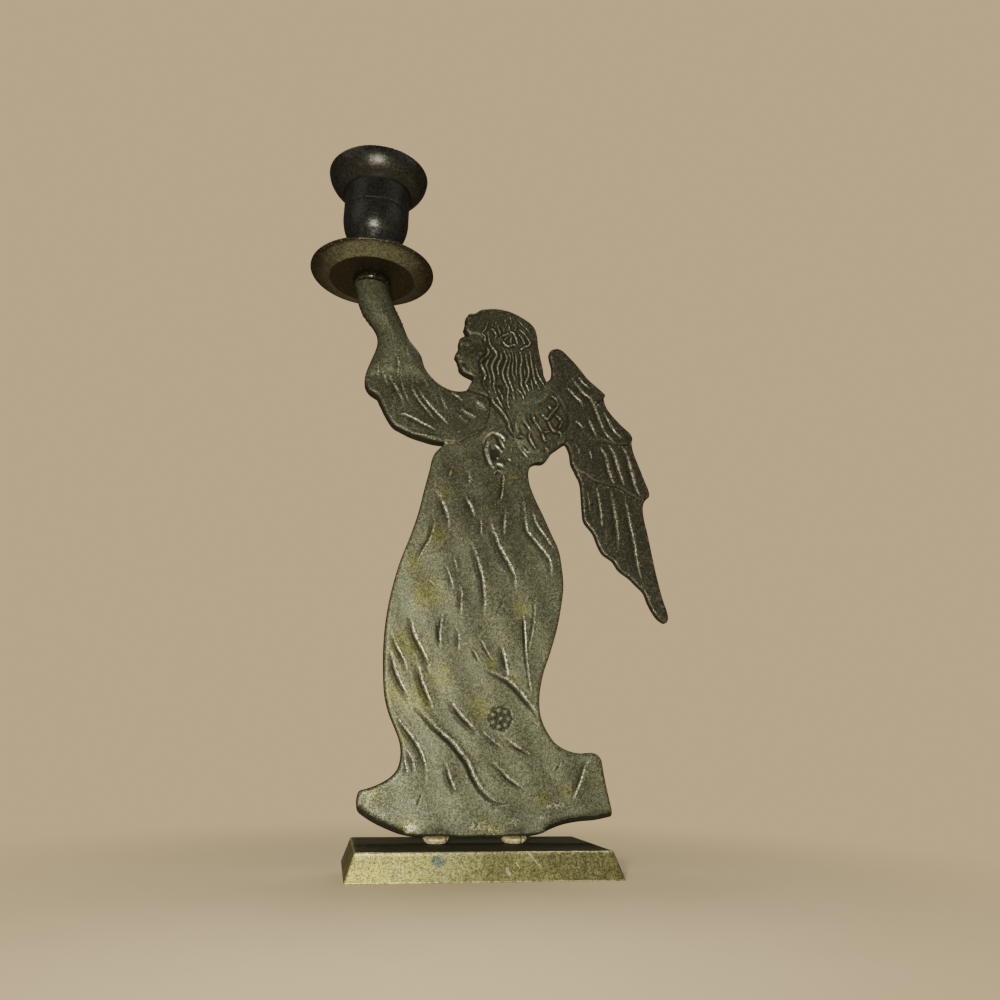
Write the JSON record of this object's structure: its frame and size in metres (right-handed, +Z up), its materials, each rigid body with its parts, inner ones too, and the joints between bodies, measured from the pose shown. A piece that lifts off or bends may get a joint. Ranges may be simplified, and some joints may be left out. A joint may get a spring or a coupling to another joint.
{
  "type": "candlestick",
  "caption": "Cast brass figural candlestick: a flat winged figure on a bevelled slab holds up a drip pan and a turned cup for a taper candle.",
  "frame": {"origin": "centre of the slab's underside, on the table", "axes": "+Z up along the standing figure; the relief faces -Y; the raised arm, pan and cup are towards -X and the wing towards +X"},
  "size_m": [0.137, 0.0516, 0.2543],
  "materials": {
    "base_brass": "darkened cast brass with rubbed edges",
    "figure_brass": "olive patinated cast brass, darker on hair and wing",
    "collar_brass": "darkened turned brass",
    "pan_brass": "darkened spun brass",
    "cup_brass": "nearly black turned brass, satin",
    "stud_steel": "plain steel",
    "screw_steel": "plain steel",
    "washer_steel": "plain steel"
  },
  "bodies": {
    "stand": {"base": "base_brass", "figure": "figure_brass", "collar": "collar_brass", "cup_stud": "stud_steel", "foot_screw_left": "screw_steel", "foot_screw_right": "screw_steel", "foot_washer_left": "washer_steel", "foot_washer_right": "washer_steel"},
    "pan": {"drip_pan": "pan_brass"},
    "cup": {"candle_cup": "cup_brass"}
  },
  "joints": [
    {"name": "pan_turn", "type": "hinge", "parent": "stand", "child": "pan", "pos_m": [-0.0447, 0, 0.2078], "axis": [0, 0, 1], "continuous": true},
    {"name": "cup_turn", "type": "hinge", "parent": "stand", "child": "cup", "pos_m": [-0.0447, 0, 0.209], "axis": [0, 0, 1], "continuous": true}
  ]
}
